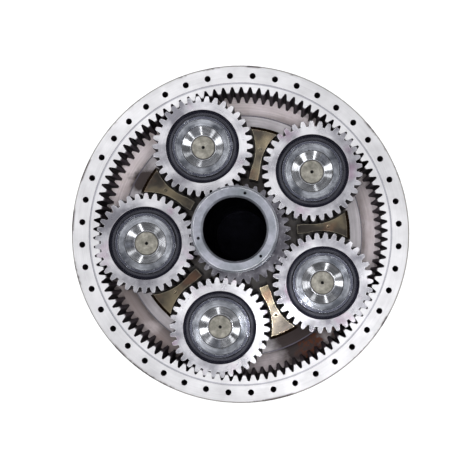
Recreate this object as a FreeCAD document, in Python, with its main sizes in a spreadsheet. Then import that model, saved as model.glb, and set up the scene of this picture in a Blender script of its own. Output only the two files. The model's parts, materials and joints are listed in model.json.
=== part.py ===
import FreeCAD, Part

import math
import os

import Sketcher
from FreeCAD import Placement, Rotation, Vector

# Planetary gear stage: a fixed ring gear bolted to a rear housing, five planets on the
# pins of a carrier, and a sun gear on a long hollow shaft.
# +Z runs along the main axis, out of the open gear side. The origin is on that axis at the
# rear face of the housing, so the stage stands on its housing. Millimetres and degrees.

DIMENSIONS = {
    # teeth
    "tooth_module": 8, "pressure_angle": 20, "flank_slack": 0.25,
    "ring_teeth": 102, "planet_teeth": 34, "sun_teeth": 33, "sun_shift": 0.5,
    "addendum": 1, "dedendum": 1.25, "space_angle": 1.5,
    # chamfers
    "edge_break": 2, "fine_break": 1, "broad_break": 3, "rim_break": 4,
    # planet layout
    "planet_count": 5, "planet_angle": 41.4, "centre_distance": 272,
    # ring gear and its flange
    "rim_radius": 480, "joint_level": 80, "ring_width": 110,
    "bolt_circle": 450, "bolt_count": 44, "bolt_hole": 8.75, "bolt_angle": 3.8,
    "register_radius": 428, "register_width": 5, "register_depth": 1.5,
    # rear housing
    "floor_level": 10, "pocket_level": 48, "pocket_radius": 369, "rim_inner": 425,
    "dish_radius": 423, "dish_level": 54,
    "hub_boss_radius": 228, "rib_count": 11, "rib_width": 18, "rib_bite": 2,
    "screw_count": 11, "screw_radius": 6, "screw_head": 9, "screw_sink": 16, "screw_reach": 26,
    "screw_head_length": 12, "hex_socket": 5, "screw_air": 2, "dowel_count": 2, "dowel_reach": 30,
    "o_ring_radius": 433, "o_ring_section": 2.2, "o_ring_air": 0.2, "o_ring_side_air": 1.2,
    # main bearing and shaft seal
    "hub_radius": 150, "main_inner_race": 162, "main_outer_race": 178, "main_seat": 190,
    "main_bearing_back": 12, "main_bearing_width": 34, "main_roller_count": 40,
    "main_roller_length": 26, "seal_seat": 176, "seal_sleeve": 156, "clamp_radius": 214,
    "clamp_inner": 181, "clamp_thickness": 4, "clamp_screw_count": 8, "clamp_screw_circle": 201,
    "clamp_screw": 4, "clamp_screw_head": 7, "clamp_screw_length": 18, "clamp_head_air": 0.5,
    "seal_back": 1, "seal_front": 11, "seal_case": 5, "seal_lip": 4,
    # carrier
    "output_level": 4, "plate_back": 56, "plate_front": 86, "plate_radius": 362,
    "web_front": 150, "web_radius": 318, "web_inner": 164, "web_width": 26, "web_chamfer": 10,
    "web_clearance": 6, "web_hole": 5.1, "web_hole_circle": 254, "web_hole_depth": 32,
    "boss_back": 64, "boss_radius": 88, "boss_height": 6, "hub_shoulder": 158,
    "output_holes": 12, "output_circle": 115, "output_hole": 8.75, "output_depth": 34,
    "spigot_radius": 80, "spigot_depth": 6, "pad_radius": 60, "pad_sink": 2, "pad_thickness": 4,
    # planets, pins and their bearings
    "planet_back": 95, "planet_front": 188, "pin_radius": 78.4, "pin_spigot": 58,
    "pin_front": 186, "pin_break": 1.5,
    "inner_race": 86.4, "outer_race": 102, "roller_count": 28, "roller_length": 64,
    "roller_back": 104, "cage_wall": 6, "cage_air": 2, "race_front": 187,
    "shield_seat": 104, "shield_back": 178, "shield_thickness": 5,
    "groove_count": 4, "groove_start": 6, "groove_pitch": 2.4, "groove_width": 1.2,
    "groove_depth": 0.8, "groove_slope": 0.3,
    "clip_thickness": 2.4, "clip_bite": 2.5, "clip_width": 6, "clip_gap": 14, "clip_air": 0.1,
    "notch_count": 3, "notch_width": 12, "notch_depth": 3, "notch_floor": 81.4,
    "recess_radius": 60, "recess_depth": 18, "plug_radius": 33.6, "plug_length": 46,
    "plug_stand": 2, "centre_drill": 2.6, "centre_drill_depth": 9,
    # sun
    "sun_back": 92, "sun_front": 190, "sun_seat": 104, "lock_seat": 103, "lock_seat_top": 197,
    "shaft_back": 91, "shaft_front": 500, "shaft_radius": 102, "shaft_bore": 74,
    "shaft_floor": 12, "shaft_chamfer": 5, "lock_ring_radius": 108, "lock_ring_height": 6,
    "puller_holes": 3, "puller_circle": 87, "puller_hole": 3.6, "puller_depth": 20,
    "puller_angle": 74, "key_count": 2, "key_width": 22, "key_height": 9, "key_back": 106,
    "key_top": 176,
    # fits, on the radius
    "fixed_gap": 0.02, "running_gap": 0.05, "rub_gap": 0.5,
}

doc = FreeCAD.newDocument("planetary_stage")
sheet = doc.addObject("Spreadsheet::Sheet", "Dims")
for row, (alias, number) in enumerate(DIMENSIONS.items(), start=1):
    sheet.set(f"A{row}", alias)
    sheet.set(f"B{row}", str(number))
    sheet.setAlias(f"B{row}", alias)
doc.recompute()

PARTS = []


def cell(alias):
    """The number in the sheet under an alias."""
    return float(sheet.get(alias))


def linked(expression):
    """An expression with every alias written as a reference to the sheet."""
    words = []
    for word in expression.split():
        words.append(f"Dims.{word}" if word in DIMENSIONS else word)
    return " ".join(words)


def value(expression):
    """What an expression of aliases comes to."""
    result = sheet.evalExpression(linked(expression))
    return float(getattr(result, "Value", result))


def at_level(level):
    return Placement(Vector(0, 0, level), Rotation())


def turned(degrees):
    return Placement(Vector(), Rotation(Vector(0, 0, 1), degrees))


def on_planet(number, degrees=0.0):
    """A place on planet number 1, 2, ..., turned by degrees from the radial direction."""
    angle = cell("planet_angle") + (number - 1) * 360 / cell("planet_count")
    outwards = Placement(Vector(cell("centre_distance"), 0, 0), Rotation())
    return turned(angle) * outwards * turned(degrees)


def keep(part, label, placement=None):
    """Register a finished sub-part under its node name."""
    part.Label = label
    part.Placement = (placement or Placement()) * part.Placement
    PARTS.append(part)
    return part


# ---------------------------------------------------------------- sketch helpers

def new_body(label):
    body = doc.addObject("PartDesign::Body", "body_" + label)
    body.AllowCompound = True
    return body


def origin_part(body, role):
    return next(item for item in body.Origin.OriginFeatures if item.Role == role)


def new_sketch(body, role, level=None):
    """A sketch on one of the body's own planes, lifted by an expression along its normal."""
    sketch = body.newObject("Sketcher::SketchObject", "sketch")
    sketch.AttachmentSupport = [(origin_part(body, role), "")]
    sketch.MapMode = "FlatFace"
    if level is not None:
        sketch.setExpression("AttachmentOffset.Base.z", linked(level))
    return sketch


def bind(sketch, kind, element, expression, point=None):
    """Hold one point or one circle of a sketch to an expression."""
    number = value(expression)
    if kind == "Radius":
        index = sketch.addConstraint(Sketcher.Constraint("Radius", element, number))
    elif abs(number) < 1e-9:
        axis = -2 if kind == "DistanceX" else -1
        sketch.addConstraint(Sketcher.Constraint("PointOnObject", element, point, axis))
        return
    else:
        index = sketch.addConstraint(Sketcher.Constraint(kind, -1, 1, element, point, number))
    sketch.setExpression(f"Constraints[{index}]", linked(expression))


def draw_outline(sketch, points):
    """A closed outline of straight edges through points given as pairs of expressions."""
    corners = [Vector(value(across), value(along), 0) for across, along in points]
    count = len(corners)
    for index in range(count):
        sketch.addGeometry(Part.LineSegment(corners[index], corners[(index + 1) % count]))
    for index in range(count):
        link = Sketcher.Constraint("Coincident", index, 2, (index + 1) % count, 1)
        sketch.addConstraint(link)
    for index, (across, along) in enumerate(points):
        bind(sketch, "DistanceX", index, across, 1)
        bind(sketch, "DistanceY", index, along, 1)


def draw_circle(sketch, radius, across="0", along="0"):
    centre = Vector(value(across), value(along), 0)
    index = sketch.addGeometry(Part.Circle(centre, Vector(0, 0, 1), value(radius)))
    bind(sketch, "Radius", index, radius)
    bind(sketch, "DistanceX", index, across, 3)
    bind(sketch, "DistanceY", index, along, 3)


# ---------------------------------------------------------------- feature helpers

def revolve(body, points):
    """Turn an outline of (radius, level) pairs about the body's Z axis."""
    sketch = new_sketch(body, "XZ_Plane")
    draw_outline(sketch, points)
    turn = body.newObject("PartDesign::Revolution", "revolution")
    turn.Profile = sketch
    turn.ReferenceAxis = (sketch, ["V_Axis"])
    turn.Angle = 360
    sketch.Visibility = False
    return turn


def pad(body, level, height, draw, *shape):
    sketch = new_sketch(body, "XY_Plane", level)
    draw(sketch, *shape)
    raised = body.newObject("PartDesign::Pad", "pad")
    raised.Profile = sketch
    raised.setExpression("Length", linked(height))
    return raised


def pocket(body, level, depth, upwards, draw, *shape):
    """Cut a sketch at a level, upwards along +Z or downwards, and check that it bites."""
    doc.recompute()
    before = body.Shape.Volume
    sketch = new_sketch(body, "XY_Plane", level)
    draw(sketch, *shape)
    cut = body.newObject("PartDesign::Pocket", "pocket")
    cut.Profile = sketch
    cut.setExpression("Length", linked(depth))
    cut.Reversed = upwards
    doc.recompute()
    if body.Shape.Volume > before - 1:
        raise RuntimeError(f"{body.Name}: a pocket cut nothing")
    return cut


def polar(body, features, count):
    """Repeat features evenly about the body's Z axis."""
    pattern = body.newObject("PartDesign::PolarPattern", "pattern")
    pattern.Originals = features
    pattern.Axis = (origin_part(body, "Z_Axis"), [""])
    pattern.Angle = 360
    pattern.setExpression("Occurrences", linked(count))
    body.Tip = pattern
    return pattern


def ring_points(inner, outer, back, front):
    """The outline of a plain ring."""
    return [(inner, back), (outer, back), (outer, front), (inner, front)]


def plain_ring(label, inner, outer, back, front, placement=None):
    body = new_body(label)
    revolve(body, ring_points(inner, outer, back, front))
    return keep(body, label, placement)


# ---------------------------------------------------------------- gear teeth

def involute(angle):
    return math.tan(angle) - angle


def tooth_outline(teeth, pitch_half_angle, root, tip):
    """A toothed wire about Z with one tooth pointing along +X."""
    pressure = math.radians(cell("pressure_angle"))
    base = cell("tooth_module") * teeth / 2 * math.cos(pressure)
    start = max(root, base)
    flank_steps = 5

    def half_angle(radius):
        slope = math.acos(min(1.0, base / radius))
        return pitch_half_angle + involute(pressure) - involute(slope)

    def point(radius, angle):
        return Vector(radius * math.cos(angle), radius * math.sin(angle), 0)

    def arc(radius, first, last):
        middle = (first + last) / 2
        return Part.Arc(point(radius, first), point(radius, middle), point(radius, last)).toShape()

    def flank(centre, side):
        radii = [start + (tip - start) * step / flank_steps for step in range(flank_steps + 1)]
        points = [point(radius, centre + side * half_angle(radius)) for radius in radii]
        curve = Part.BSplineCurve()
        curve.interpolate(points)
        edges = [curve.toShape()]
        if start > root:
            foot = point(root, centre + side * half_angle(start))
            edges.insert(0, Part.LineSegment(foot, points[0]).toShape())
        return edges

    edges = []
    step = 2 * math.pi / teeth
    for number in range(teeth):
        centre = number * step
        edges += flank(centre, -1)
        edges.append(arc(tip, centre - half_angle(tip), centre + half_angle(tip)))
        edges += reversed(flank(centre, 1))
        foot = half_angle(start)
        edges.append(arc(root, centre + foot, centre + step - foot))
    return Part.Wire(Part.__sortEdges__(edges))


def half_angle_at_pitch(teeth, shift, slack):
    """Half of a tooth's angle at the pitch circle, thinned by a slack along that circle."""
    pressure = math.radians(cell("pressure_angle"))
    pitch_radius = cell("tooth_module") * teeth / 2
    return math.pi / (2 * teeth) + 2 * shift * math.tan(pressure) / teeth - slack / (2 * pitch_radius)


def gear_prism(teeth, shift, back, front):
    """An external gear without a bore."""
    module = cell("tooth_module")
    root = module * (teeth / 2 - cell("dedendum") + shift)
    tip = module * (teeth / 2 + cell("addendum") + shift)
    half = half_angle_at_pitch(teeth, shift, cell("flank_slack"))
    prism = Part.Face(tooth_outline(teeth, half, root, tip)).extrude(Vector(0, 0, front - back))
    prism.translate(Vector(0, 0, back))
    chamfer = cell("edge_break")
    beyond = tip + chamfer
    outline = [(0, back), (tip - chamfer, back), (beyond, back + 2 * chamfer),
               (beyond, front - 2 * chamfer), (tip - chamfer, front), (0, front)]
    return prism.common(turned_solid(outline))


def turned_solid(outline):
    """A solid turned about Z from (radius, level) numbers."""
    corners = [Vector(radius, 0, level) for radius, level in outline]
    face = Part.Face(Part.makePolygon(corners + corners[:1]))
    return face.revolve(Vector(), Vector(0, 0, 1), 360)


def drills(count, radius, depth, gaps_on):
    """Cylinders to cut with, up from the joint face on the flange's bolt circle. The first one
    stands gaps_on bolt spacings past the first flange hole."""
    first = cell("bolt_angle") + gaps_on * 360 / cell("bolt_count")
    place = Vector(cell("bolt_circle"), 0, cell("joint_level"))
    tools = []
    for number in range(int(cell(count))):
        tool = Part.makeCylinder(radius, depth, place)
        tool.rotate(Vector(), Vector(0, 0, 1), first + number * 360 / cell(count))
        tools.append(tool)
    return tools


def keep_shape(label, shape, placement=None):
    part = doc.addObject("Part::Feature", "shape_" + label)
    part.Shape = shape
    return keep(part, label, placement)


def nearest_space_offset(angle):
    """Degrees from a direction to the nearest tooth space of the ring gear."""
    step = 360 / cell("ring_teeth")
    offset = (cell("space_angle") - angle) % step
    return offset if offset < step / 2 else offset - step


def planet_turn(number):
    """How far a planet is turned so that one of its teeth meets a ring space."""
    angle = cell("planet_angle") + (number - 1) * 360 / cell("planet_count")
    return nearest_space_offset(angle) * cell("ring_teeth") / cell("planet_teeth")


# ---------------------------------------------------------------- housing and ring gear

RING_FRONT = "joint_level + ring_width"


def make_ring_gear():
    back = cell("joint_level")
    front = value(RING_FRONT)
    rim = cell("rim_radius")
    edge = cell("edge_break")
    broad = cell("rim_break")
    inside = cell("plate_radius")
    groove_out = cell("register_radius") + cell("register_width") / 2
    groove_in = cell("register_radius") - cell("register_width") / 2
    groove_floor = front - cell("register_depth")
    blank = turned_solid([
        (inside, back), (rim - edge, back), (rim, back + edge), (rim, front - broad),
        (rim - broad, front), (groove_out, front), (groove_out, groove_floor),
        (groove_in, groove_floor), (groove_in, front), (inside, front)])
    teeth = int(cell("ring_teeth"))
    module = cell("tooth_module")
    tip = module * (teeth / 2 - cell("addendum"))
    root = module * (teeth / 2 + cell("dedendum"))
    half = half_angle_at_pitch(teeth, 0, -cell("flank_slack"))
    void = Part.Face(tooth_outline(teeth, half, tip, root)).extrude(Vector(0, 0, front - back))
    void.translate(Vector(0, 0, back))
    void.rotate(Vector(), Vector(0, 0, 1), cell("space_angle"))
    tip_break = turned_solid([(inside, front), (inside, front - edge), (tip, front - edge),
                              (tip + edge, front)])
    tools = [void, tip_break]
    fastener = cell("screw_radius") + cell("fixed_gap")
    screw_depth = cell("screw_reach") + cell("screw_air")
    tools += drills("bolt_count", cell("bolt_hole"), front - back, 0)
    tools += drills("screw_count", fastener, screw_depth, 0.5)
    tools += drills("dowel_count", fastener, cell("dowel_reach"), 1.5)
    keep_shape("ring_gear", blank.cut(tools))


def make_rear_housing():
    body = new_body("rear_housing")
    groove_half = "o_ring_section + o_ring_side_air"
    groove_floor = "joint_level - 2 * o_ring_section - 2 * o_ring_air"
    revolve(body, [
        ("seal_seat", "0"), ("hub_boss_radius", "0"), ("hub_boss_radius", "floor_level"),
        ("rim_inner", "floor_level"), ("rim_inner", "0"), ("rim_radius - edge_break", "0"),
        ("rim_radius", "edge_break"), ("rim_radius", "joint_level - edge_break"),
        ("rim_radius - edge_break", "joint_level"),
        (f"o_ring_radius + {groove_half}", "joint_level"),
        (f"o_ring_radius + {groove_half}", groove_floor),
        (f"o_ring_radius - ( {groove_half} )", groove_floor),
        (f"o_ring_radius - ( {groove_half} )", "joint_level"), ("dish_radius", "joint_level"),
        ("pocket_radius", "dish_level"), ("pocket_radius", "pocket_level"),
        ("main_seat + fixed_gap", "pocket_level"),
        ("main_seat + fixed_gap", "main_bearing_back"), ("seal_seat", "main_bearing_back")])
    rib = pad(body, "0", "floor_level + rib_bite", draw_outline, [
        ("hub_boss_radius - rib_bite", "0 - rib_width / 2"),
        ("rim_inner + rib_bite", "0 - rib_width / 2"), ("rim_inner + rib_bite", "rib_width / 2"),
        ("hub_boss_radius - rib_bite", "rib_width / 2")])
    polar(body, [rib], "rib_count")
    hole = pocket(body, "0", "joint_level", True, draw_circle, "bolt_hole", "bolt_circle")
    polar(body, [hole], "bolt_count")
    half_gap = "180 / bolt_count"
    across = f"bolt_circle * cos( {half_gap} )"
    along = f"bolt_circle * sin( {half_gap} )"
    bore = pocket(body, "0", "joint_level", True, draw_circle, "screw_radius + fixed_gap", across, along)
    sink = pocket(body, "0", "screw_sink", True, draw_circle, "screw_head + fine_break", across, along)
    polar(body, [bore, sink], "screw_count")
    across = f"bolt_circle * cos( 3 * {half_gap} )"
    along = f"bolt_circle * sin( 3 * {half_gap} )"
    dowel = pocket(body, "joint_level", "dowel_reach", False, draw_circle,
                   "screw_radius + fixed_gap", across, along)
    polar(body, [dowel], "dowel_count")
    thread = pocket(body, "pocket_level", "clamp_screw_length", False, draw_circle,
                    "clamp_screw + fixed_gap", "clamp_screw_circle")
    polar(body, [thread], "clamp_screw_count")
    keep(body, "rear_housing", turned(cell("bolt_angle")))


def make_housing_screws():
    """Socket cap screws that hold the ring gear on the rear housing, heads at the rear."""
    body = new_body("housing_screws")
    half_gap = "180 / bolt_count"
    across = f"bolt_circle * cos( {half_gap} )"
    along = f"bolt_circle * sin( {half_gap} )"
    shank = pad(body, "screw_sink", "joint_level + screw_reach - screw_sink", draw_circle,
                "screw_radius", across, along)
    head = pad(body, "screw_sink - screw_head_length", "screw_head_length", draw_circle,
               "screw_head", across, along)
    socket = pocket(body, "screw_sink - screw_head_length", "screw_head_length / 2", True,
                    draw_hexagon, "hex_socket", across, along)
    polar(body, [shank, head, socket], "screw_count")
    keep(body, "housing_screws", turned(cell("bolt_angle")))


def draw_hexagon(sketch, flat, across, along):
    """A hexagon by its distance from centre to flat."""
    corners = []
    for number in range(6):
        angle = f"{60 * number}"
        corners.append((f"{across} + {flat} / cos( 30 ) * cos( {angle} )",
                        f"{along} + {flat} / cos( 30 ) * sin( {angle} )"))
    draw_outline(sketch, corners)


def make_dowel_pins():
    body = new_body("dowel_pins")
    across = "bolt_circle * cos( 540 / bolt_count )"
    along = "bolt_circle * sin( 540 / bolt_count )"
    pin = pad(body, "joint_level - dowel_reach + rub_gap", "2 * ( dowel_reach - rub_gap )",
              draw_circle, "screw_radius", across, along)
    polar(body, [pin], "dowel_count")
    keep(body, "dowel_pins", turned(cell("bolt_angle")))


def make_housing_o_ring():
    ring = doc.addObject("Part::Torus", "o_ring_torus")
    ring.setExpression("Radius1", linked("o_ring_radius"))
    ring.setExpression("Radius2", linked("o_ring_section"))
    doc.recompute()
    level = value("joint_level - o_ring_section - o_ring_air")
    keep(ring, "housing_o_ring", turned(cell("bolt_angle")) * at_level(level))


def make_bearing_clamp():
    """The ring that holds the main bearing's outer ring down, and its screws."""
    front = "pocket_level + clamp_thickness"
    body = new_body("bearing_clamp_ring")
    revolve(body, ring_points("clamp_inner", "clamp_radius", "pocket_level", front))
    hole = pocket(body, front, "clamp_thickness", False, draw_circle,
                  "clamp_screw_head + clamp_head_air", "clamp_screw_circle")
    polar(body, [hole], "clamp_screw_count")
    keep(body, "bearing_clamp_ring", turned(cell("bolt_angle")))
    body = new_body("clamp_screws")
    head_height = "clamp_thickness - fine_break"
    shank = pad(body, "pocket_level - clamp_screw_length + fine_break", "clamp_screw_length",
                draw_circle, "clamp_screw", "clamp_screw_circle")
    head = pad(body, "pocket_level", head_height, draw_circle, "clamp_screw_head",
               "clamp_screw_circle")
    polar(body, [shank, head], "clamp_screw_count")
    keep(body, "clamp_screws", turned(cell("bolt_angle")))


MAIN_FRONT = "main_bearing_back + main_bearing_width"


def make_main_bearing():
    plain_ring("main_bearing_outer_ring", "main_outer_race", "main_seat",
               "main_bearing_back", MAIN_FRONT)
    plain_ring("main_bearing_inner_ring", "hub_radius + fixed_gap", "main_inner_race",
               "main_bearing_back", MAIN_FRONT)
    middle = "main_bearing_back + main_bearing_width / 2"
    roller_set("main_bearing_rollers", "main_bearing_cage", "main_inner_race", "main_outer_race",
               f"{middle} - main_roller_length / 2", "main_roller_length", "main_roller_count",
               "main_bearing_back + fine_break", f"{MAIN_FRONT} - fine_break", Placement())


def make_seal():
    """A steel running sleeve on the hub and the lip seal around it, open towards the bearing."""
    plain_ring("seal_sleeve", "hub_radius + fixed_gap", "seal_sleeve", "output_level",
               "main_bearing_back")
    body = new_body("shaft_seal")
    lip = "seal_sleeve + rub_gap"
    case = "seal_seat - seal_case"
    revolve(body, [
        (lip, "seal_back + seal_lip"), ("seal_seat - fixed_gap", "seal_back"),
        ("seal_seat - fixed_gap", "seal_front"), (case, "seal_front"),
        (case, "seal_back + seal_lip"), (f"{lip} + seal_lip", "seal_back + seal_lip + seal_case / 2"),
        (f"{lip} + seal_lip", "seal_front"), (lip, "seal_front")])
    keep(body, "shaft_seal")


# ---------------------------------------------------------------- bearings

def roller_set(roller_label, cage_label, inner, outer, back, length, count, cage_back,
               cage_front, placement):
    """Rollers between two races, and the cage that spaces them."""
    pitch = f"( {inner} + {outer} ) / 2"
    radius = f"( {outer} - {inner} ) / 2 - running_gap"
    body = new_body(roller_label)
    rollers = pad(body, back, length, draw_circle, radius, pitch)
    polar(body, [rollers], count)
    keep(body, roller_label, placement)
    body = new_body(cage_label)
    revolve(body, ring_points(f"{inner} + cage_air", f"{outer} - cage_air", cage_back, cage_front))
    window = pocket(body, f"{back} - rub_gap", f"{length} + 2 * rub_gap", True, draw_circle,
                    f"{radius} + rub_gap / 2", pitch)
    polar(body, [window], count)
    keep(body, cage_label, placement)


# ---------------------------------------------------------------- carrier

def make_carrier():
    """A plate with five pin bosses, and a web between each two planets that stands up to the
    front: a straight rib near the sun that flares towards its outer end."""
    body = new_body("planet_carrier")
    planet_room = "tooth_module * ( planet_teeth / 2 + addendum ) + web_clearance"
    revolve(body, [
        ("0", "output_level + spigot_depth"), ("spigot_radius", "output_level + spigot_depth"),
        ("spigot_radius", "output_level"), ("hub_radius - edge_break", "output_level"),
        ("hub_radius", "output_level + edge_break"), ("hub_radius", MAIN_FRONT),
        ("hub_shoulder", MAIN_FRONT), ("hub_shoulder", "plate_back"),
        ("plate_radius - broad_break", "plate_back"), ("plate_radius", "plate_back + broad_break"),
        ("plate_radius", "plate_front"), ("web_radius", "plate_front"),
        ("web_radius", "web_front - web_chamfer"), ("web_radius - web_chamfer", "web_front"),
        ("web_inner", "web_front"), ("web_inner", "plate_front"),
        ("pad_radius + fixed_gap", "plate_front"),
        ("pad_radius + fixed_gap", "plate_front - pad_sink"), ("0", "plate_front - pad_sink")])
    room = pocket(body, "web_front", "web_front - plate_front", False, draw_circle,
                  planet_room, "centre_distance")
    polar(body, [room], "planet_count")
    half_step = "180 / planet_count"
    waist = f"centre_distance * cos( {half_step} )"
    corner_across = f"{waist} * cos( {half_step} ) + web_width / 2 * sin( {half_step} )"
    corner_along = f"{waist} * sin( {half_step} ) - web_width / 2 * cos( {half_step} )"
    beside = pocket(body, "web_front", "web_front - plate_front", False, draw_outline, [
        (f"web_width / 2 / sin( {half_step} )", "0"), (corner_across, corner_along),
        (corner_across, f"0 - ( {corner_along} )")])
    polar(body, [beside], "planet_count")
    boss = pad(body, "boss_back", "plate_front + boss_height - boss_back", draw_circle,
               "boss_radius", "centre_distance")
    polar(body, [boss], "planet_count")
    bore = pocket(body, "plate_front + boss_height", "plate_front + boss_height - plate_back",
                  False, draw_circle, "pin_spigot + fixed_gap", "centre_distance")
    polar(body, [bore], "planet_count")
    web_across = f"web_hole_circle * cos( {half_step} )"
    web_along = f"web_hole_circle * sin( {half_step} )"
    web_hole = pocket(body, "web_front", "web_hole_depth", False, draw_circle, "web_hole",
                      web_across, web_along)
    polar(body, [web_hole], "planet_count")
    output = pocket(body, "output_level", "output_depth", True, draw_circle, "output_hole",
                    "output_circle")
    polar(body, [output], "output_holes")
    keep(body, "planet_carrier", turned(cell("planet_angle")))


def make_thrust_pad():
    floor = "plate_front - pad_sink"
    front = f"{floor} + pad_thickness"
    body = new_body("sun_thrust_pad")
    revolve(body, [("0", floor), ("pad_radius", floor), ("pad_radius", f"{front} - fine_break"),
                   ("pad_radius - fine_break", front), ("0", front)])
    keep(body, "sun_thrust_pad")


# ---------------------------------------------------------------- planets

def make_planet_gear(number):
    back = cell("planet_back")
    front = cell("planet_front")
    gear = gear_prism(int(cell("planet_teeth")), 0, back, front)
    seat = cell("shield_seat")
    shield_back = cell("shield_back")
    clip_back = shield_back + cell("shield_thickness")
    clip_front = clip_back + cell("clip_thickness")
    groove = seat + cell("clip_bite")
    race = cell("outer_race")
    fine = cell("fine_break")
    mouth = turned_solid([
        (0, back), (race + fine, back), (race, back + fine), (race, shield_back), (seat, shield_back),
        (seat, clip_back), (groove, clip_back), (groove, clip_front), (seat, clip_front),
        (seat, front - fine), (seat + fine, front), (0, front)])
    keep_shape(f"planet_gear_{number}", gear.cut(mouth), on_planet(number, planet_turn(number)))


def make_planet_shield(number):
    """A dished steel cover with shallow turned grooves, seated in the gear's bore."""
    front = "shield_back + shield_thickness"
    points = [("inner_race + rub_gap", "shield_back"), ("shield_seat - fixed_gap", "shield_back"),
              ("shield_seat - fixed_gap", front)]
    floor = f"{front} - groove_depth"
    for groove in range(int(cell("groove_count"))):
        edge = f"shield_seat - groove_start - groove_pitch * {groove}"
        points += [(edge, front), (f"{edge} - groove_slope", floor),
                   (f"{edge} - groove_width + groove_slope", floor), (f"{edge} - groove_width", front)]
    points += [("inner_race + edge_break", front), ("inner_race + rub_gap", f"{front} - pin_break")]
    body = new_body(f"planet_shield_{number}")
    revolve(body, points)
    keep(body, f"planet_shield_{number}", on_planet(number))


def make_planet_clip(number):
    """A snap ring with a gap, sprung into the groove in front of the shield."""
    name = f"planet_snap_ring_{number}"
    level = "shield_back + shield_thickness + clip_air"
    thickness = "clip_thickness - 2 * clip_air"
    outer = doc.addObject("Part::Cylinder", name + "_outer")
    outer.setExpression("Radius", linked("shield_seat + clip_bite - 3 * clip_air"))
    inner = doc.addObject("Part::Cylinder", name + "_inner")
    inner.setExpression("Radius", linked("shield_seat + clip_bite - clip_width"))
    gap = doc.addObject("Part::Box", name + "_gap")
    gap.setExpression("Length", linked("shield_seat + clip_bite"))
    gap.setExpression("Width", linked("clip_gap"))
    gap.setExpression("Placement.Base.y", linked("0 - clip_gap / 2"))
    for tool, thick in ((outer, thickness), (inner, thickness)):
        tool.setExpression("Height", linked(thick))
    gap.setExpression("Height", linked(thickness))
    band = doc.addObject("Part::Cut", name + "_band")
    band.Base = outer
    band.Tool = inner
    clip = doc.addObject("Part::Cut", name + "_clip")
    clip.Base = band
    clip.Tool = gap
    doc.recompute()
    facing = -cell("planet_angle") - 60 * number
    keep(clip, name, on_planet(number, facing) * at_level(value(level)))


def make_planet_pin(number):
    """A pin on a spigot in the carrier's plate, with a conical recess in its front face."""
    body = new_body(f"planet_pin_{number}")
    shoulder = "plate_front + boss_height"
    recess_floor = "pin_front - recess_depth"
    bore = "plug_radius + fixed_gap"
    revolve(body, [
        (bore, "plate_back"), ("pin_spigot - broad_break", "plate_back"),
        ("pin_spigot", "plate_back + broad_break"), ("pin_spigot", shoulder),
        ("pin_radius", shoulder), ("pin_radius", "pin_front - pin_break"),
        ("pin_radius - pin_break", "pin_front"), ("recess_radius", "pin_front"),
        ("recess_radius - edge_break", "pin_front - broad_break"),
        ("plug_radius + broad_break", recess_floor), (bore, recess_floor)])
    keep(body, f"planet_pin_{number}", on_planet(number))


def make_pin_plug(number):
    """The plug that closes the pin's oil bore, with a centre drilling in its face."""
    body = new_body(f"pin_plug_{number}")
    front = "pin_front - recess_depth + plug_stand"
    back = f"{front} - plug_length"
    revolve(body, [
        ("0", back), ("plug_radius - fine_break", back), ("plug_radius", f"{back} + fine_break"),
        ("plug_radius", f"{front} - fine_break"), ("plug_radius - fine_break", front),
        ("centre_drill + pin_break", front), ("centre_drill", f"{front} - pin_break"),
        ("centre_drill", f"{front} - centre_drill_depth"),
        ("0", f"{front} - centre_drill_depth - pin_break")])
    keep(body, f"pin_plug_{number}", on_planet(number))


def make_inner_ring(number):
    """The bearing's inner ring, shrunk on the pin, with notches in its front face."""
    body = new_body(f"planet_inner_ring_{number}")
    revolve(body, [
        ("pin_radius + fixed_gap", "plate_front + boss_height"),
        ("inner_race", "plate_front + boss_height"), ("inner_race", "race_front - fine_break"),
        ("inner_race - fine_break", "race_front"), ("pin_radius + fixed_gap", "race_front")])
    outside = "inner_race + fine_break"
    notch = pocket(body, "race_front", "notch_depth", False, draw_outline, [
        ("notch_floor", "0 - notch_width / 2"), (outside, "0 - notch_width / 2"),
        (outside, "notch_width / 2"), ("notch_floor", "notch_width / 2")])
    polar(body, [notch], "notch_count")
    keep(body, f"planet_inner_ring_{number}", on_planet(number, 50 + 40 * number))


def make_planet(number):
    make_planet_gear(number)
    make_planet_shield(number)
    make_planet_clip(number)
    make_planet_pin(number)
    make_pin_plug(number)
    make_inner_ring(number)
    roller_set(f"planet_rollers_{number}", f"planet_cage_{number}", "inner_race", "outer_race",
               "roller_back", "roller_length", "roller_count", "roller_back - cage_wall",
               "roller_back + roller_length + cage_wall", on_planet(number))


# ---------------------------------------------------------------- sun

def sun_turn():
    """How far the sun is turned so that one of its spaces meets a tooth of planet 1."""
    return cell("planet_angle") - planet_turn(1) * cell("planet_teeth") / cell("sun_teeth") \
        + 180 / cell("sun_teeth")


def make_sun_gear():
    back = cell("sun_back")
    front = cell("sun_front")
    gear = gear_prism(int(cell("sun_teeth")), cell("sun_shift"), back, front)
    gap = cell("fixed_gap")
    bore = Part.makeCylinder(cell("sun_seat") + gap, front - back, Vector(0, 0, back))
    slot_height = cell("key_height") + 2 * gap
    slot_width = cell("key_width") + 2 * gap
    slot_length = value("key_top - key_back + 2 * rub_gap")
    corner = Vector(cell("sun_seat") - slot_height / 2, -slot_width / 2, value("key_back - rub_gap"))
    key_count = int(cell("key_count"))
    tools = [bore]
    for side in range(key_count):
        slot = Part.makeBox(slot_height, slot_width, slot_length, corner)
        slot.rotate(Vector(), Vector(0, 0, 1), cell("puller_angle") - sun_turn() + 360 / key_count * side)
        tools.append(slot)
    keep_shape("sun_gear", gear.cut(tools), turned(sun_turn()))


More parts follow.
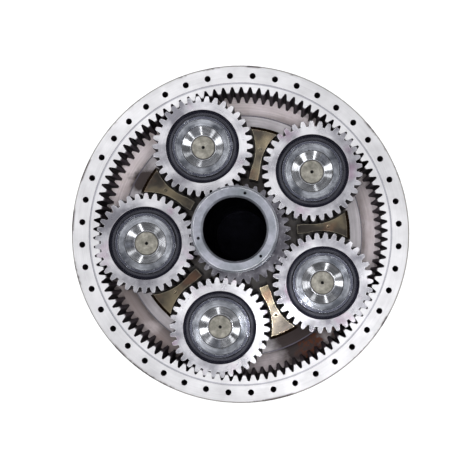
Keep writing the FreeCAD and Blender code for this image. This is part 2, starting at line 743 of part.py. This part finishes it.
def key_outline(gap):
    """A key's section across the shaft, on the +X side, grown by a gap."""
    inside = f"sun_seat - key_height / 2 - {gap}"
    outside = f"sun_seat + key_height / 2 + {gap}"
    half_width = f"key_width / 2 + {gap}"
    return [(inside, f"0 - ( {half_width} )"), (outside, f"0 - ( {half_width} )"),
            (outside, half_width), (inside, half_width)]


def make_sun_keys():
    body = new_body("sun_keys")
    key = pad(body, "key_back", "key_top - key_back", draw_outline, key_outline("0"))
    polar(body, [key], "key_count")
    keep(body, "sun_keys", turned(cell("puller_angle")))


def make_sun_shaft():
    """A hollow shaft that steps down from the sun's seat to the lock ring's and then its own size."""
    body = new_body("sun_shaft")
    revolve(body, [
        ("0", "shaft_back"), ("sun_seat - edge_break", "shaft_back"),
        ("sun_seat", "shaft_back + edge_break"), ("sun_seat", "sun_front"),
        ("lock_seat", "sun_front"), ("lock_seat", "lock_seat_top"),
        ("shaft_radius", "lock_seat_top"), ("shaft_radius", "shaft_front - shaft_chamfer"),
        ("shaft_radius - shaft_chamfer", "shaft_front"), ("shaft_bore + shaft_chamfer", "shaft_front"),
        ("shaft_bore", "shaft_front - shaft_chamfer"), ("shaft_bore", "shaft_back + shaft_floor"),
        ("0", "shaft_back + shaft_floor")])
    puller = pocket(body, "shaft_front", "puller_depth", False, draw_circle, "puller_hole",
                    "puller_circle")
    polar(body, [puller], "puller_holes")
    slot = pocket(body, "key_back - rub_gap", "key_top - key_back + 2 * rub_gap", True,
                  draw_outline, key_outline("fixed_gap"))
    polar(body, [slot], "key_count")
    keep(body, "sun_shaft", turned(cell("puller_angle")))


def make_lock_ring():
    """The ring that holds the sun gear down on its shaft."""
    inner = "lock_seat + fixed_gap"
    front = "sun_front + lock_ring_height"
    body = new_body("sun_lock_ring")
    revolve(body, [
        (inner, "sun_front"), ("lock_ring_radius", "sun_front"),
        ("lock_ring_radius", f"{front} - edge_break"), ("lock_ring_radius - edge_break", front),
        (inner, front)])
    keep(body, "sun_lock_ring")


# ---------------------------------------------------------------- build and write

def check_document():
    doc.recompute()
    for item in doc.Objects:
        if "Invalid" in item.State or "Error" in item.State:
            raise RuntimeError(f"{item.Name} ({item.Label}) failed: {item.State}")
    for part in PARTS:
        if part.Shape.isNull() or not part.Shape.isValid() or not part.Shape.Solids:
            raise RuntimeError(f"{part.Label} has no valid solid")


def write_parts():
    os.makedirs("parts", exist_ok=True)
    for part in PARTS:
        part.Shape.exportStep(f"parts/{part.Label}.step")
        print(part.Label, len(part.Shape.Solids), round(part.Shape.Volume))


make_ring_gear()
make_rear_housing()
make_housing_screws()
make_dowel_pins()
make_housing_o_ring()
make_bearing_clamp()
make_main_bearing()
make_seal()
make_carrier()
make_thrust_pad()
for planet in range(1, int(cell("planet_count")) + 1):
    make_planet(planet)
make_sun_gear()
make_sun_keys()
make_sun_shaft()
make_lock_ring()
check_document()
write_parts()
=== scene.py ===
import json
import math

import bpy
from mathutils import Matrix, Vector


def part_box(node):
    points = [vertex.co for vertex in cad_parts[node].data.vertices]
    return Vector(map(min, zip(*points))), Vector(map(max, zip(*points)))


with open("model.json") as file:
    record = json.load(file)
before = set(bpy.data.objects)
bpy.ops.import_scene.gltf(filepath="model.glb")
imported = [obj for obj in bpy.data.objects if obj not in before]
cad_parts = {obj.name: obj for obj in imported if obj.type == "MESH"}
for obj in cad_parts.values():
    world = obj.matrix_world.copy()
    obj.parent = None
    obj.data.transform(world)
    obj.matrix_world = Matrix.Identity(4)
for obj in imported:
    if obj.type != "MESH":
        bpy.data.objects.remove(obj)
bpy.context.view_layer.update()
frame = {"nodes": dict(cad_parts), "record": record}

NODES = frame["nodes"]


# ---------------------------------------------------------------- places, from the frame

def radius_of(node):
    low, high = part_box(node)
    return (high.x - low.x) / 2


def top_of(node):
    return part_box(node)[1].z


RING_TOP = top_of("ring_gear")
RIM = radius_of("ring_gear")
SHAFT_TOP = top_of("sun_shaft")
PLATE = radius_of("planet_carrier")


# ---------------------------------------------------------------- node helpers

class Tree:
    """Short calls for building a material's nodes, round the Z axis of the object or of a planet."""

    def __init__(self, name, planet_part=None):
        self.material = bpy.data.materials.new(name)
        self.material.use_nodes = True
        self.tree = self.material.node_tree
        self.shader = self.tree.nodes["Principled BSDF"]
        self.place = self.add("ShaderNodeTexCoord").outputs["Object"]
        own = self.own(2 * radius_of(planet_part)) if planet_part else self.place
        self.x, self.y, _ = self.split(own)
        self.z = self.split(self.place)[2]
        square = self.math("ADD", self.math("POWER", self.x, 2.0), self.math("POWER", self.y, 2.0))
        self.radius = self.math("SQRT", square)

    def own(self, width):
        """Coordinates from the middle of a round piece, given its width."""
        scaled = self.add("ShaderNodeVectorMath", operation="MULTIPLY_ADD")
        self.link(self.add("ShaderNodeTexCoord").outputs["Generated"], scaled.inputs[0])
        scaled.inputs[1].default_value = (width, width, width)
        scaled.inputs[2].default_value = (-width / 2, -width / 2, -width / 2)
        return scaled.outputs[0]

    def add(self, kind, **settings):
        node = self.tree.nodes.new(kind)
        for key, setting in settings.items():
            setattr(node, key, setting)
        return node

    def link(self, source, target):
        self.tree.links.new(source, target)

    def give(self, item, socket):
        """Link a socket, or set a number or a colour."""
        if hasattr(item, "links"):
            self.link(item, socket)
        elif isinstance(item, tuple) and len(socket.default_value) == 4:
            socket.default_value = (*item, 1)
        else:
            socket.default_value = item

    def split(self, vector):
        parts = self.add("ShaderNodeSeparateXYZ")
        self.link(vector, parts.inputs[0])
        return parts.outputs[0], parts.outputs[1], parts.outputs[2]

    def join(self, *values):
        node = self.add("ShaderNodeCombineXYZ")
        for index, item in enumerate(values):
            self.give(item, node.inputs[index])
        return node.outputs[0]

    def math(self, operation, *values):
        node = self.add("ShaderNodeMath", operation=operation)
        for index, item in enumerate(values):
            self.give(item, node.inputs[index])
        return node.outputs[0]

    def spread(self, number, low, high, first=0.0, last=1.0):
        """A number's run from low to high, as a run from first to last."""
        node = self.add("ShaderNodeMapRange")
        for index, item in enumerate((number, low, high, first, last)):
            self.give(item, node.inputs[index])
        return node.outputs[0]

    def above(self, number, limit, soft=0.0004):
        """0 below a limit and 1 above it."""
        return self.spread(number, limit - soft, limit + soft)

    def below(self, number, limit, soft=0.0004):
        return self.spread(number, limit - soft, limit + soft, 1.0, 0.0)

    def band(self, number, low, high, soft=0.0004):
        return self.both(self.above(number, low, soft), self.below(number, high, soft))

    def both(self, first, second):
        return self.math("MULTIPLY", first, second)

    def cloud(self, scale, detail=4.0, rough=0.55):
        node = self.add("ShaderNodeTexNoise")
        self.link(self.place, node.inputs["Vector"])
        for name, number in (("Scale", scale), ("Detail", detail), ("Roughness", rough)):
            node.inputs[name].default_value = number
        return node.outputs["Fac"]

    def turned(self, fineness, along=2.0):
        """Lathe marks round the axis, with no seam: fineness is per metre of radius."""
        safe = self.math("ADD", self.radius, 0.0001)
        units = [self.both(self.math("DIVIDE", part, safe), along) for part in (self.x, self.y)]
        node = self.add("ShaderNodeTexNoise")
        self.link(self.join(self.both(self.radius, fineness), *units), node.inputs["Vector"])
        node.inputs["Scale"].default_value = 1.0
        return node.outputs["Fac"]

    def ramp(self, factor, stops):
        """A colour or grey ramp; stops are (position, grey or colour)."""
        node = self.add("ShaderNodeValToRGB")
        self.link(factor, node.inputs[0])
        elements = node.color_ramp.elements
        while len(elements) < len(stops):
            elements.new(0.5)
        for element, (position, tone) in zip(elements, stops):
            element.position = position
            element.color = (*tone, 1) if isinstance(tone, tuple) else (tone, tone, tone, 1)
        return node.outputs[0]

    def mix(self, factor, first, second, blend="MIX"):
        node = self.add("ShaderNodeMix", data_type="RGBA", blend_type=blend)
        for index, item in ((0, factor), (6, first), (7, second)):
            self.give(item, node.inputs[index])
        return node.outputs[2]

    def shaded(self, colour, factor, low, high=1.0, amount=1.0):
        """A colour made darker where a noise is low."""
        return self.mix(amount, colour, self.ramp(factor, [(0.3, low), (0.7, high)]), "MULTIPLY")

    def up(self, low=0.35, high=0.8):
        """1 on faces that look along +Z, 0 on walls."""
        normal = self.split(self.add("ShaderNodeNewGeometry").outputs["True Normal"])
        return self.spread(normal[2], low, high)

    def edge(self, size):
        """1 along edges, broken up as real wear is, and 0 on flats."""
        bevel = self.add("ShaderNodeBevel", samples=4)
        bevel.inputs["Radius"].default_value = size
        dot = self.add("ShaderNodeVectorMath", operation="DOT_PRODUCT")
        self.link(bevel.outputs[0], dot.inputs[0])
        self.link(self.add("ShaderNodeNewGeometry").outputs["Normal"], dot.inputs[1])
        worn = self.spread(self.math("SUBTRACT", 1.0, dot.outputs["Value"]), 0.02, 0.16)
        return self.both(worn, self.spread(self.cloud(45, 3), 0.35, 0.6, 0.25, 1.0))

    def worn(self, colour, size, amount, bare):
        """Bare metal showing along the edges of a colour."""
        return self.mix(self.both(self.edge(size), amount), colour, bare)

    def stains(self, spots):
        """1 in uneven patches, used for oil stains, rust and taupe patches; each spot is (degrees,
        distance from the axis, size).
        """
        total = 0.0
        uneven = self.spread(self.cloud(16, 5), 0.3, 0.7, -0.026, 0.026)
        flat = self.join(self.x, self.y, 0.0)
        for degrees, distance, size in spots:
            turn = math.radians(degrees)
            away = self.add("ShaderNodeVectorMath", operation="DISTANCE")
            self.link(flat, away.inputs[0])
            away.inputs[1].default_value = (distance * math.cos(turn), distance * math.sin(turn), 0)
            ragged = self.math("ADD", away.outputs["Value"], uneven)
            spot = self.spread(ragged, size * 1.15, size * 0.55)
            total = self.math("MAXIMUM", total, spot)
        return total

    def brushed(self, amount):
        """Stretches highlights across the lathe marks, so that they fan out from the axis."""
        self.shader.inputs["Anisotropic"].default_value = amount
        self.shader.inputs["Anisotropic Rotation"].default_value = 0.25
        tangent = self.add("ShaderNodeTangent", direction_type="RADIAL", axis="Z")
        self.link(tangent.outputs[0], self.shader.inputs["Tangent"])

    def bump(self, height, strength=0.15, distance=0.00004):
        node = self.add("ShaderNodeBump")
        node.inputs["Strength"].default_value = strength
        node.inputs["Distance"].default_value = distance
        self.link(height, node.inputs["Height"])
        self.link(node.outputs[0], self.shader.inputs["Normal"])

    def finish(self, colour, rough, metal=1.0):
        """Connect the look; rough is a pair of roughnesses, or a socket."""
        if isinstance(rough, tuple):
            rough = self.ramp(self.cloud(38, 5), [(0.3, rough[0]), (0.7, rough[1])])
        for item, name in ((colour, "Base Color"), (rough, "Roughness"), (metal, "Metallic")):
            self.give(item, self.shader.inputs[name])
        return self.material


def dress(node, material):
    """Give a CAD node its material."""
    mesh = NODES[node].data
    mesh.materials.clear()
    mesh.materials.append(material)


# ---------------------------------------------------------------- ring gear and housing

# near-black colour for the walls between gear teeth: painted shade
PAINTED_WALL_SHADE = (0.018, 0.013, 0.017)
BROWN_OIL = (0.024, 0.012, 0.010)
BARE_EDGE = (0.70, 0.69, 0.72)
DULL = (0.6, 0.6, 0.6)
OIL_MATT = (0.85, 0.85, 0.85)

# radii and heights on the ring gear and in the housing's dish, in metres
REGISTER = (0.4252, 0.4308)
DARKEST_WALLS_BEYOND = 0.4045
RIM_CHAMFER = RIM - 0.0045
RIM_STAINS = RIM - 0.006
RIM_OUTSIDE = RIM - 0.001
RUNS_DOWN_TO = RING_TOP - 0.03
DISH_OUTSIDE = 0.44
POCKET_FLOOR = 0.045

# marks on the dish and the carrier plate: (degrees, distance from the axis, size)
DISH_STAINS = [(298, 0.350, 0.100), (318, 0.380, 0.075), (150, 0.345, 0.050)]
DISH_RUST = [(302, 0.392, 0.042), (316, 0.385, 0.042)]
DISH_TAUPE_PATCHES = [(214, 0.375, 0.100), (236, 0.375, 0.090)]
TAUPE_PATCH = (0.20, 0.155, 0.145)


def ring_steel():
    """Ground flange and tooth faces; walls between the teeth painted near-black as painted shade; a
    stained outer edge.
    """
    tree = Tree("ground_steel")
    marks = tree.turned(2600, 3)
    face = tree.ramp(tree.cloud(11, 6), [(0.32, (0.385, 0.382, 0.392)), (0.66, (0.495, 0.492, 0.503))])
    face = tree.shaded(face, tree.turned(260, 3), 0.92)
    face = tree.shaded(face, marks, 0.5, 1.0, 0.2)
    # the register groove is painted a darker grey: painted shade in the groove
    face = tree.mix(tree.band(tree.radius, *REGISTER), face, (0.25, 0.25, 0.27))
    face = tree.worn(face, 0.0022, 0.5, BARE_EDGE)
    # the outer chamfer is painted a darker grey: painted shade on the chamfer
    rim = tree.above(tree.radius, RIM_CHAMFER)
    face = tree.mix(rim, face, (0.27, 0.265, 0.25))
    oily = tree.spread(tree.cloud(6, 5, 0.65), 0.52, 0.57)
    stained = tree.both(tree.above(tree.radius, RIM_STAINS, 0.003), oily)
    face = tree.mix(stained, face, BROWN_OIL)
    outside = tree.above(tree.radius, RIM_OUTSIDE)
    # walls are painted near-black, darkest among the teeth: painted shade; the outer side keeps its own
    # grey
    wall = tree.shaded((0.05, 0.035, 0.046), tree.cloud(50, 3), 0.4)
    wall = tree.mix(tree.above(tree.radius, DARKEST_WALLS_BEYOND, 0.003), wall, PAINTED_WALL_SHADE)
    wall = tree.mix(outside, wall, tree.shaded((0.34, 0.33, 0.325), tree.cloud(25, 5), 0.75))
    runs = tree.both(oily, tree.above(tree.z, RUNS_DOWN_TO, 0.02))
    wall = tree.mix(tree.both(outside, runs), wall, BROWN_OIL)
    up = tree.up()
    bare = tree.math("MAXIMUM", up, outside)
    tree.bump(marks)
    rough = tree.mix(bare, DULL, tree.ramp(tree.cloud(40, 5), [(0.3, 0.34), (0.7, 0.48)]))
    return tree.finish(tree.mix(up, wall, face), rough, bare)


def housing_iron():
    """A satin dish with taupe patches, matt oil and rust specks; sand-cast and primed everywhere else."""
    tree = Tree("housing_iron")
    dish = tree.ramp(tree.cloud(7, 5), [(0.34, (0.78, 0.69, 0.69)), (0.6, (0.95, 0.86, 0.89))])
    dish = tree.shaded(dish, tree.turned(240, 3), 0.78)
    # two patches on the dish are darkened toward taupe
    dish = tree.mix(tree.both(tree.stains(DISH_TAUPE_PATCHES), 0.75), dish, TAUPE_PATCH)
    oil = tree.stains(DISH_STAINS)
    dish = tree.mix(tree.both(oil, 0.95), dish, BROWN_OIL)
    speckle = tree.spread(tree.cloud(85, 6, 0.75), 0.45, 0.55)
    rust = tree.both(tree.stains(DISH_RUST), speckle)
    dish = tree.mix(rust, dish, (0.155, 0.045, 0.019))
    film = tree.spread(tree.cloud(9, 6, 0.65), 0.5, 0.72, 0.0, 0.30)
    dish = tree.mix(film, dish, (0.24, 0.125, 0.085))
    paint = tree.ramp(tree.cloud(20, 6), [(0.3, (0.16, 0.17, 0.18)), (0.7, (0.25, 0.26, 0.275))])
    paint = tree.worn(paint, 0.004, 0.5, (0.36, 0.36, 0.36))
    inner = tree.both(tree.above(tree.z, POCKET_FLOOR), tree.below(tree.radius, DISH_OUTSIDE))
    tree.bump(tree.both(tree.cloud(420, 4), tree.math("SUBTRACT", 1.0, inner)), 0.5, 0.0006)
    rough = tree.mix(inner, tree.ramp(tree.cloud(60, 4), [(0.3, 0.5), (0.7, 0.7)]),
                     tree.ramp(tree.cloud(30, 4), [(0.3, 0.36), (0.7, 0.5)]))
    rough = tree.mix(tree.both(inner, oil), rough, OIL_MATT)
    clean = tree.math("SUBTRACT", 1.0, oil)
    return tree.finish(tree.mix(inner, paint, dish), rough, tree.both(tree.both(inner, clean), 0.5))


# ---------------------------------------------------------------- carrier

WEB_FOOT = 0.1
WEB_CHAMFER = 0.3085
WEB_OUTSIDE = 0.322
PLATE_CHAMFER = PLATE - 0.0035


def carrier_iron():
    """Webs in a glossy straw-brown lacquer over metal, on a paler machined plate painted dark under the
    planets as painted shade; walls painted near-black as painted shade.
    """
    tree = Tree("carrier_iron")
    face = tree.ramp(tree.cloud(8, 5), [(0.36, (0.018, 0.016, 0.015)), (0.48, (0.038, 0.033, 0.027)),
                                        (0.62, (0.122, 0.102, 0.068))])
    face = tree.mix(tree.spread(tree.cloud(13, 3), 0.52, 0.66, 0.0, 0.5), face, (0.12, 0.062, 0.038))
    face = tree.shaded(face, tree.cloud(30, 5), 0.75)
    face = tree.mix(tree.above(tree.radius, WEB_CHAMFER, 0.0015), face, (0.11, 0.065, 0.035))
    face = tree.worn(face, 0.003, 0.45, (0.55, 0.50, 0.38))
    plate = tree.ramp(tree.cloud(9, 5), [(0.34, (0.34, 0.31, 0.33)), (0.64, (0.60, 0.565, 0.59))])
    plate = tree.shaded(plate, tree.turned(150, 2), 0.75)
    oil = tree.stains(DISH_STAINS)
    plate = tree.mix(tree.both(oil, 0.95), plate, BROWN_OIL)
    # inside the webs' outer radius the plate under the planets is painted dark brown: painted shade
    plate = tree.mix(tree.above(tree.radius, WEB_OUTSIDE), (0.045, 0.032, 0.026), plate)
    plate = tree.mix(tree.above(tree.radius, PLATE_CHAMFER), plate, (0.11, 0.10, 0.13))
    # walls are painted near-black: painted shade
    walls = tree.shaded((0.035, 0.026, 0.02), tree.cloud(40, 3), 0.5)
    top = tree.mix(tree.above(tree.z, WEB_FOOT), plate, face)
    web = tree.above(tree.z, WEB_FOOT)
    satin = tree.ramp(tree.cloud(30, 4), [(0.3, 0.38), (0.7, 0.55)])
    satin = tree.mix(oil, satin, OIL_MATT)
    rough = tree.mix(web, satin, tree.ramp(tree.cloud(38, 5), [(0.3, 0.12), (0.7, 0.24)]))
    tree.bump(tree.cloud(260, 4), 0.15, 0.0002)
    return tree.finish(tree.mix(tree.up(0.2, 0.7), walls, top), rough, tree.both(web, 0.95))


# ---------------------------------------------------------------- planets

TIP_LAND = 0.1434
SHIELD_LIP = 0.0955
RECESS = 0.0584
RECESS_FOOT = 0.0355
PLUG_EDGE = 0.0318
CENTRE_DRILL = 0.0048


def planet_steel():
    """Ground gear faces with cloudy tarnish and a little heat tint."""
    tree = Tree("gear_steel", "planet_gear_1")
    marks = tree.turned(1900, 2)
    face = tree.ramp(tree.cloud(9, 5), [(0.37, (0.13, 0.128, 0.145)), (0.48, (0.29, 0.288, 0.308)),
                                        (0.60, (0.46, 0.457, 0.475))])
    tint = tree.spread(tree.cloud(11, 4, 0.5), 0.57, 0.70, 0.0, 0.45)
    face = tree.mix(tint, face, (0.25, 0.13, 0.21))
    face = tree.shaded(face, tree.turned(420, 3), 0.88)
    face = tree.shaded(face, marks, 0.4, 1.0, 0.25)
    face = tree.worn(face, 0.0026, 0.75, BARE_EDGE)
    tip = tree.above(tree.radius, TIP_LAND)
    # tooth flanks are painted near-black as painted shade; the tip lands keep a lighter grey
    wall = tree.mix(tip, tree.shaded(PAINTED_WALL_SHADE, tree.cloud(60, 3), 0.5), (0.22, 0.215, 0.23))
    up = tree.up()
    bare = tree.math("MAXIMUM", up, tip)
    tree.bump(marks)
    tree.brushed(0.45)
    rough = tree.mix(bare, DULL, tree.ramp(tree.cloud(35, 5), [(0.3, 0.24), (0.7, 0.38)]))
    return tree.finish(tree.mix(up, wall, face), rough, bare)


def black_oxide():
    """A near-black outer band, a painted shadow of the gap at the shield's edge, and a dark grey field
    with fine rings inside it.
    """
    tree = Tree("black_oxide", "planet_shield_1")
    lines = tree.turned(900, 1.2)
    field = tree.ramp(lines, [(0.36, (0.010, 0.010, 0.014)), (0.64, (0.055, 0.056, 0.066))])
    black = tree.shaded((0.008, 0.008, 0.013), tree.cloud(22, 4), 0.5)
    # the outer band is painted near-black: painted shadow
    colour = tree.mix(tree.above(tree.radius, SHIELD_LIP, 0.0006), field, black)
    colour = tree.worn(colour, 0.0008, 0.3, (0.10, 0.10, 0.12))
    tree.bump(lines, 0.2, 0.00006)
    return tree.finish(colour, (0.28, 0.42))


def race_steel():
    """Oiled dark bearing rings, bright only along their worn edges: wear, and a painted highlight on the
    edges.
    """
    tree = Tree("bearing_steel", "planet_inner_ring_1")
    marks = tree.turned(2000, 1.5)
    colour = tree.ramp(marks, [(0.35, (0.018, 0.019, 0.027)), (0.65, (0.065, 0.068, 0.088))])
    # worn edges are painted bright: wear and painted highlight
    colour = tree.worn(colour, 0.0014, 0.9, (0.62, 0.64, 0.68))
    tree.bump(marks)
    tree.brushed(0.6)
    return tree.finish(colour, (0.18, 0.32))


def pin_steel():
    """A turned pin end: a satin rim round a polished conical recess."""
    tree = Tree("pin_steel", "planet_pin_1")
    marks = tree.turned(1500, 1.6)
    rim = tree.ramp(tree.cloud(16, 5), [(0.38, (0.060, 0.065, 0.077)), (0.62, (0.29, 0.302, 0.33))])
    recess = tree.ramp(tree.cloud(20, 4), [(0.3, (0.36, 0.37, 0.39)), (0.7, (0.60, 0.61, 0.64))])
    colour = tree.mix(tree.above(tree.radius, RECESS, 0.0006), recess, rim)
    colour = tree.shaded(colour, tree.turned(260, 1.6), 0.62)
    colour = tree.shaded(colour, marks, 0.6, 1.0, 0.35)
    colour = tree.worn(colour, 0.001, 0.6, (0.66, 0.68, 0.72))
    # inside the recess foot the pin is painted near-black: painted shade in the crevice round the plug
    colour = tree.mix(tree.below(tree.radius, RECESS_FOOT, 0.001), colour, (0.03, 0.028, 0.03))
    tree.bump(marks)
    tree.brushed(0.85)
    return tree.finish(colour, (0.16, 0.27))


def plug_steel():
    tree = Tree("plug_steel", "pin_plug_1")
    stain = tree.cloud(48, 6, 0.65)
    colour = tree.ramp(stain, [(0.32, (0.085, 0.082, 0.068)), (0.5, (0.165, 0.158, 0.135)),
                               (0.68, (0.29, 0.278, 0.243))])
    # the plug's outer edge is painted near-black: painted shade in the gap round the plug
    colour = tree.mix(tree.above(tree.radius, PLUG_EDGE, 0.0006), colour, (0.04, 0.037, 0.034))
    # the centre drill is painted black: painted shade in the hole
    colour = tree.mix(tree.above(tree.radius, CENTRE_DRILL), (0.004, 0.004, 0.004), colour)
    tree.bump(tree.cloud(500, 3), 0.2, 0.0001)
    return tree.finish(colour, (0.45, 0.62), 0.6)


# ---------------------------------------------------------------- sun and small parts

SHAFT_BORE = 0.074
PULLER_HOLES = (0.0826, 0.0914)
GLINTS_BEYOND = PULLER_HOLES[1] + 0.004
HOLE_MOUTH = SHAFT_TOP - 0.0006


def sun_steel():
    """A dark mottled face with bright flecks, and brighter worn tooth edges."""
    tree = Tree("sun_steel")
    face = tree.ramp(tree.cloud(26, 6, 0.62), [(0.32, (0.032, 0.031, 0.038)), (0.5, (0.066, 0.064, 0.074)),
                                               (0.66, (0.13, 0.127, 0.142))])
    flecks = tree.spread(tree.cloud(150, 5, 0.7), 0.60, 0.66, 0.0, 0.6)
    face = tree.mix(flecks, face, (0.36, 0.36, 0.38))
    face = tree.worn(face, 0.0022, 0.6, (0.40, 0.39, 0.42))
    up = tree.up()
    tree.bump(tree.turned(2000, 2))
    rough = tree.mix(up, DULL, tree.ramp(tree.cloud(40, 4), [(0.3, 0.36), (0.7, 0.52)]))
    # walls between the teeth are painted near-black: painted shade
    return tree.finish(tree.mix(up, PAINTED_WALL_SHADE, face), rough, up)


def shaft_steel():
    """A satin turned tube with a mottled bluish skin and painted glints, a painted highlight, on its worn
    outer edge; bore and puller holes painted near-black as painted shade.
    """
    tree = Tree("shaft_steel")
    marks = tree.turned(1500, 2)
    skin = tree.ramp(tree.cloud(21, 6, 0.62), [(0.34, (0.115, 0.127, 0.138)), (0.5, (0.175, 0.182, 0.208)),
                                               (0.66, (0.26, 0.262, 0.30))])
    skin = tree.shaded(skin, marks, 0.4, 1.0, 0.3)
    # bright patches on the worn outer edge are painted glints: wear and painted highlight
    outer = tree.above(tree.radius, GLINTS_BEYOND, 0.001)
    patches = tree.spread(tree.cloud(17, 3), 0.42, 0.52, 0.12, 1.0)
    glints = tree.both(tree.edge(0.005), tree.both(outer, patches))
    skin = tree.mix(glints, skin, (0.90, 0.91, 0.94))
    # the bore and the puller holes are painted near-black: painted shade
    holes = tree.both(tree.band(tree.radius, *PULLER_HOLES), tree.below(tree.z, HOLE_MOUTH))
    dark = tree.math("MAXIMUM", holes, tree.below(tree.radius, SHAFT_BORE + 0.0006))
    tree.bump(marks)
    return tree.finish(tree.mix(dark, skin, (0.002, 0.002, 0.003)), (0.30, 0.45))


def screw_steel():
    tree = Tree("screw_steel")
    colour = tree.ramp(tree.cloud(40, 4), [(0.3, (0.015, 0.015, 0.019)), (0.7, (0.05, 0.05, 0.058))])
    colour = tree.worn(colour, 0.0008, 0.5, (0.22, 0.22, 0.23))
    tree.bump(tree.cloud(900, 3), 0.2, 0.00005)
    return tree.finish(colour, (0.3, 0.46))


def brass(name, low, high):
    tree = Tree(name)
    colour = tree.ramp(tree.cloud(60, 5), [(0.3, low), (0.7, high)])
    colour = tree.worn(colour, 0.001, 0.4, (0.9, 0.75, 0.42))
    tree.bump(tree.cloud(700, 3), 0.1, 0.00005)
    return tree.finish(colour, (0.25, 0.42))


def rubber():
    tree = Tree("seal_rubber")
    tree.bump(tree.cloud(900, 3), 0.3, 0.0002)
    return tree.finish(tree.ramp(tree.cloud(90, 4), [(0.3, 0.012), (0.7, 0.03)]), (0.5, 0.75), 0.0)


LOOKS = {
    "ground_steel": ring_steel(), "gear_steel": planet_steel(), "sun_steel": sun_steel(),
    "shaft_steel": shaft_steel(), "black_oxide": black_oxide(), "screw_steel": screw_steel(),
    "bearing_steel": race_steel(), "pin_steel": pin_steel(), "plug_steel": plug_steel(),
    "carrier_iron": carrier_iron(), "housing_iron": housing_iron(), "seal_rubber": rubber(),
    "cage_brass": brass("cage_brass", (0.55, 0.38, 0.14), (0.74, 0.55, 0.24)),
    "pad_bronze": brass("pad_bronze", (0.42, 0.26, 0.12), (0.6, 0.4, 0.2)),
}
for entry in frame["record"]["subparts"]:
    dress(entry["node"], LOOKS[entry["material_slot"]])


# ---------------------------------------------------------------- stage

FLOOR_SIZE = 18


def make_floor():
    bpy.ops.mesh.primitive_plane_add(size=FLOOR_SIZE)
    floor = bpy.context.object
    floor.name = "floor"
    tree = Tree("floor_pale")
    floor.data.materials.append(tree.finish((0.92, 0.92, 0.92), (0.85, 0.95), 0.0))


CAMERA_HEIGHT = 1.696


def make_camera():
    """Looks straight down, from a little to the lower right of the main axis."""
    camera = bpy.data.cameras.new("camera")
    camera.lens = 45.4
    camera.shift_x = -0.0627
    camera.shift_y = 0.0417
    item = bpy.data.objects.new("camera", camera)
    item.location = (0.0744, -0.064, RING_TOP + CAMERA_HEIGHT)
    bpy.context.scene.collection.objects.link(item)
    bpy.context.scene.camera = item


LIGHT_AIM = Vector((0, 0, 0.19))


def add_light(name, size, power, place, size_y=None):
    """A white area light aimed at the middle of the gears."""
    light = bpy.data.lights.new(name, "AREA")
    light.energy = power
    light.size = size
    if size_y:
        light.shape = "RECTANGLE"
        light.size_y = size_y
    item = bpy.data.objects.new(name, light)
    item.location = place
    item.rotation_euler = (LIGHT_AIM - Vector(place)).to_track_quat("-Z", "Y").to_euler()
    bpy.context.scene.collection.objects.link(item)


# upright strips round the object: (degrees, width, power)
STRIPS = [(0, 0.9, 17), (45, 0.5, 4), (91, 0.25, 7), (150, 0.5, 5), (182, 0.9, 18), (216, 0.5, 5),
          (269, 0.25, 8), (316, 0.7, 13)]
STRIP_DISTANCE = 2.3
STRIP_HEIGHT = 1.6
STRIP_LENGTH = 1.5

# the sky as (place, grey level), where place 0 is the horizon and 1 is straight up
SKY = [(0.0, 0.85), (0.12, 0.80), (0.28, 0.10), (0.5, 0.12), (0.72, 0.90), (1.0, 0.90)]


def make_lights():
    """A broad ceiling with four smaller lights near it, and upright strips all round."""
    add_light("overhead", 6.0, 63, (0.0, 0.2, 4.2))
    add_light("right_fill", 2.0, 10, (1.5, -1.0, 3.9))
    add_light("key", 1.6, 14, (-1.2, 1.6, 3.4))
    add_light("small_box", 0.26, 15, (0.20, -0.64, 4.1))
    add_light("tube", 0.12, 3, (0.10, 1.0, 4.1), size_y=1.2)
    for degrees, width, power in STRIPS:
        turn = math.radians(degrees)
        place = (STRIP_DISTANCE * math.cos(turn), STRIP_DISTANCE * math.sin(turn), STRIP_HEIGHT)
        add_light(f"strip_{degrees}", width, power, place, size_y=STRIP_LENGTH)


def make_world():
    """Pale at the horizon and overhead, with a darker belt between for the metal to reflect."""
    world = bpy.data.worlds.new("studio")
    world.use_nodes = True
    tree = world.node_tree
    parts = tree.nodes.new("ShaderNodeSeparateXYZ")
    tree.links.new(tree.nodes.new("ShaderNodeTexCoord").outputs["Generated"], parts.inputs[0])
    sky = tree.nodes.new("ShaderNodeValToRGB")
    elements = sky.color_ramp.elements
    while len(elements) < len(SKY):
        elements.new(0.5)
    for element, (height, level) in zip(elements, SKY):
        element.position = height
        element.color = (level, level, 1.03 * level, 1)
    tree.links.new(parts.outputs[2], sky.inputs[0])
    tree.links.new(sky.outputs[0], tree.nodes["Background"].inputs[0])
    bpy.context.scene.world = world


make_floor()
make_camera()
make_lights()
make_world()
bpy.context.scene.view_settings.view_transform = "Standard"
